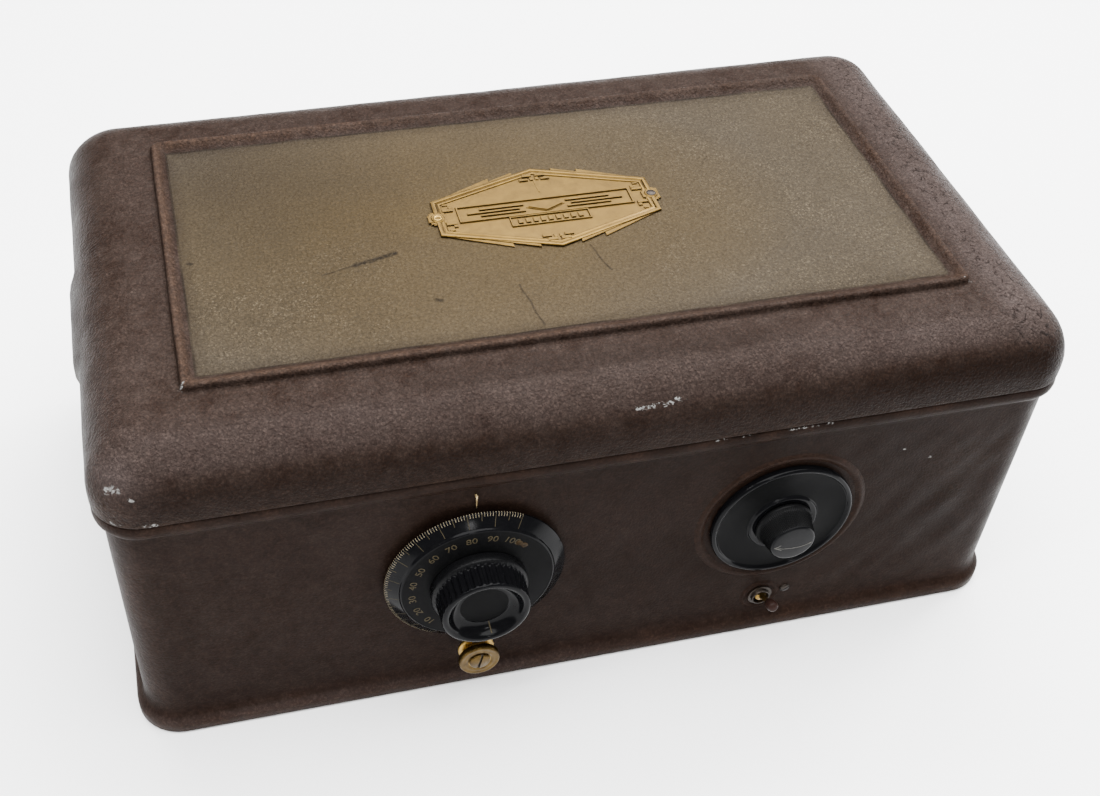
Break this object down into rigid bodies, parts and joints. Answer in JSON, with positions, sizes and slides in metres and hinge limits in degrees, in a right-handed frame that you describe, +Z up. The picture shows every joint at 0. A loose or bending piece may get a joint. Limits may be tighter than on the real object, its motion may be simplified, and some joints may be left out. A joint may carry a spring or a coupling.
{
  "type": "table radio receiver",
  "caption": "Metal-cased table radio with a lift-off lid, a large tuning dial, a volume knob, a toggle switch and a ganged tuning chassis inside.",
  "frame": {"origin": "middle of the base, on the surface it stands on", "axes": "+X to the right seen from the front, +Y to the back, +Z up; the controls face -Y"},
  "size_m": [0.45, 0.295, 0.1866],
  "materials": {
    "case_paint": "dark brown crinkled enamel on steel, worn along the edges",
    "lid_paint": "brown crinkled enamel with a gold-green hammered centre panel",
    "badge_brass": "stamped brass, darkened in its recesses",
    "plated_steel": "nickel-plated steel",
    "dark_steel": "blackened steel",
    "dull_plate": "dull zinc plate",
    "chassis_plate": "grey-painted pressed steel",
    "black_bakelite": "moulded black bakelite, polished",
    "brown_bakelite": "moulded dark brown bakelite",
    "brown_phenolic": "laminated phenolic sheet",
    "brass": "turned brass",
    "knurled_brass": "knurled and lacquered brass, aged",
    "toggle_brass": "dark oxidised brass",
    "phosphor_bronze": "thin spring bronze tape",
    "aluminium_vanes": "rolled aluminium sheet",
    "copper_wire": "enamelled copper wire in close turns",
    "valve_glass": "clear blown glass with a silvered getter patch",
    "black_lacquer": "black lacquered steel",
    "winding_paper": "varnished paper wrap",
    "gland_rubber": "moulded rubber",
    "cloth_lead": "cotton-braided hook-up wire"
  },
  "bodies": {
    "cabinet": {"audio_transformers": "black_lacquer", "bottom_plate": "dull_plate", "bottom_screws": "plated_steel", "bushing_nuts": "brass", "bypass_condensers": "dull_plate", "case_body": "case_paint", "chassis_deck": "chassis_plate", "chassis_screws": "plated_steel", "coil_formers": "brown_phenolic", "coil_windings": "copper_wire", "condenser_frames": "dull_plate", "condenser_stators": "aluminium_vanes", "cord_gland": "gland_rubber", "dial_pointer": "brass", "filter_block": "black_lacquer", "internal_leads": "cloth_lead", "resistance_element": "brown_phenolic", "shaft_bushings": "brass", "stator_insulators": "brown_phenolic", "switch_body": "brown_phenolic", "switch_bushing": "brass", "switch_plate_screw": "dark_steel", "tape_belts": "phosphor_bronze", "terminal_posts": "brass", "terminal_strip": "brown_phenolic", "transformer_core": "black_lacquer", "transformer_winding": "winding_paper", "trimmer_frame": "brown_phenolic", "valve_bases": "brown_bakelite", "valve_bulbs": "valve_glass", "valve_sockets": "brown_phenolic", "volume_control_body": "dull_plate", "volume_escutcheon": "black_bakelite"},
    "lid": {"lid": "lid_paint", "badge": "badge_brass", "badge_screws": "plated_steel"},
    "tuner": {"dial_disc": "black_bakelite", "tuning_knob": "black_bakelite", "knob_set_screw": "plated_steel", "middle_shaft": "plated_steel", "middle_rotor": "aluminium_vanes", "middle_pulley": "brass"},
    "left_gang": {"left_shaft": "plated_steel", "left_rotor": "aluminium_vanes", "left_pulley": "brass"},
    "right_gang": {"right_shaft": "plated_steel", "right_rotor": "aluminium_vanes", "right_pulley": "brass"},
    "volume": {"volume_knob": "black_bakelite", "volume_shaft": "plated_steel", "volume_wiper": "brass"},
    "trimmer": {"thumb_knob": "knurled_brass", "thumb_knob_screw": "knurled_brass", "trimmer_shaft": "brass", "trimmer_vane": "brass"},
    "toggle": {"toggle_lever": "toggle_brass"},
    "nut_1": {"terminal_nut_1": "knurled_brass"},
    "nut_2": {"terminal_nut_2": "knurled_brass"},
    "nut_3": {"terminal_nut_3": "knurled_brass"}
  },
  "joints": [
    {"name": "lid_lift", "type": "slide", "parent": "cabinet", "child": "lid", "axis": [0, 0, 1], "range_m": [0, 0.16]},
    {"name": "tuning", "type": "hinge", "parent": "cabinet", "child": "tuner", "pos_m": [-0.0617, -0.1, 0.0832], "axis": [0, 1, 0], "range_deg": [-29.4, 150.6]},
    {"name": "left_gang_turn", "type": "hinge", "parent": "cabinet", "child": "left_gang", "pos_m": [-0.155, -0.06, 0.0832], "axis": [0, 1, 0], "range_deg": [-29.5, 150.7]},
    {"name": "right_gang_turn", "type": "hinge", "parent": "cabinet", "child": "right_gang", "pos_m": [0.0316, -0.06, 0.0832], "axis": [0, 1, 0], "range_deg": [-29.5, 150.7]},
    {"name": "volume_turn", "type": "hinge", "parent": "cabinet", "child": "volume", "pos_m": [0.089, -0.13, 0.0832], "axis": [0, 1, 0], "range_deg": [-60, 240]},
    {"name": "trimmer_turn", "type": "hinge", "parent": "cabinet", "child": "trimmer", "pos_m": [-0.0617, -0.13, 0.0354], "axis": [0, 1, 0], "range_deg": [-90, 90]},
    {"name": "switch_toggle", "type": "hinge", "parent": "cabinet", "child": "toggle", "pos_m": [0.0887, -0.1255, 0.024], "axis": [1, 0, 0], "range_deg": [0, 56]},
    {"name": "terminal_nut_1_turn", "type": "hinge", "parent": "cabinet", "child": "nut_1", "pos_m": [-0.17, 0.136, 0.03], "axis": [0, 1, 0], "continuous": true},
    {"name": "terminal_nut_2_turn", "type": "hinge", "parent": "cabinet", "child": "nut_2", "pos_m": [-0.135, 0.136, 0.03], "axis": [0, 1, 0], "continuous": true},
    {"name": "terminal_nut_3_turn", "type": "hinge", "parent": "cabinet", "child": "nut_3", "pos_m": [-0.1, 0.136, 0.03], "axis": [0, 1, 0], "continuous": true}
  ],
  "couplings": [
    {"joint": "left_gang_turn", "follows": "tuning", "ratio": 1},
    {"joint": "right_gang_turn", "follows": "tuning", "ratio": 1}
  ]
}
